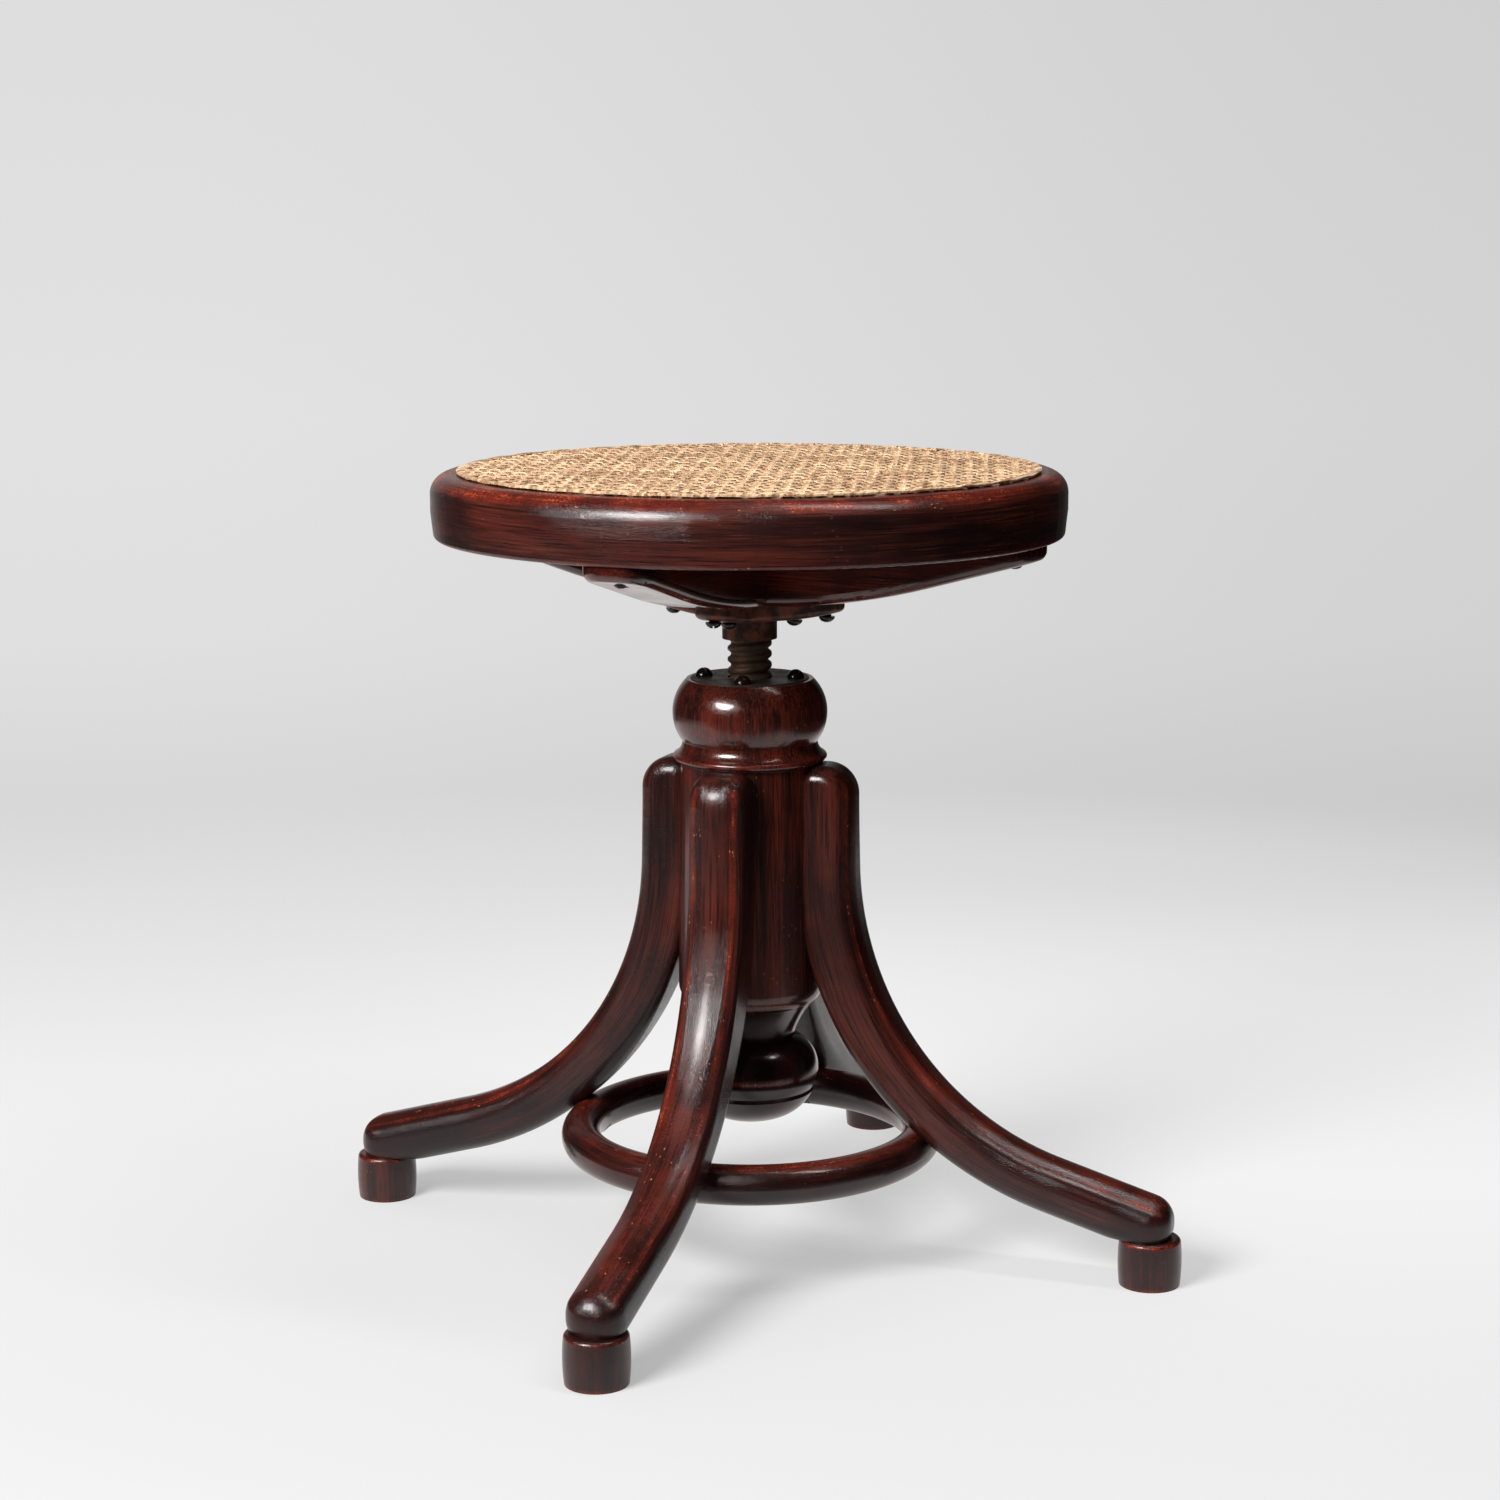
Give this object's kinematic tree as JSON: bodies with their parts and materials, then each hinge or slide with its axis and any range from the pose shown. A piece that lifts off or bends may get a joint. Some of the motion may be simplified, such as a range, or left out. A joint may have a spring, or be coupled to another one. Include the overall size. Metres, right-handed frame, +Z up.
{
  "type": "revolving piano stool",
  "caption": "Revolving bentwood piano stool: round caned seat on a lapped cross, iron screw spindle, turned column, bent legs and a foot ring.",
  "frame": {"origin": "on the floor under the spindle's axis", "axes": "+Z up along the spindle, the front leg points along -Y, the right leg along +X"},
  "size_m": [0.514, 0.514, 0.4565],
  "materials": {
    "stool_wood": "dark red-brown stained beech, glossy aged varnish, worn at the edges",
    "bare_wood": "unfinished beech",
    "cast_iron": "brown-black iron with worn paint",
    "steel": "oiled dark steel, turned and threaded",
    "screw_steel": "dull screw steel",
    "cane": "natural split cane, satin"
  },
  "bodies": {
    "base": {"column": "stool_wood", "column_finial": "stool_wood", "nut_plate": "cast_iron", "nut_plate_screws": "screw_steel", "leg_front": "stool_wood", "leg_right": "stool_wood", "leg_back": "stool_wood", "leg_left": "stool_wood", "leg_dowels": "bare_wood", "foot_ring": "stool_wood", "ring_screws": "screw_steel", "foot_front": "stool_wood", "foot_right": "stool_wood", "foot_back": "stool_wood", "foot_left": "stool_wood", "foot_dowels": "bare_wood"},
    "stop_collar": {"stop_collar": "steel"},
    "seat": {"spindle": "steel", "spindle_nut": "steel", "spindle_flange": "cast_iron", "flange_screws": "screw_steel", "cross_bar_lower": "stool_wood", "cross_bar_upper": "stool_wood", "cross_bar_screws": "screw_steel", "seat_rim": "stool_wood", "cane_panel": "cane", "cane_binding": "cane"}
  },
  "joints": [
    {"name": "height_slide", "type": "slide", "parent": "base", "child": "stop_collar", "axis": [0, 0, 1], "range_m": [-0.021, 0.11]},
    {"name": "seat_turn", "type": "hinge", "parent": "stop_collar", "child": "seat", "pos_m": [0, 0, 0.19], "axis": [0, 0, 1], "range_deg": [-1190, 6235]}
  ],
  "couplings": [
    {"joint": "height_slide", "follows": "seat_turn", "m_per_rad": 0.0010106}
  ]
}
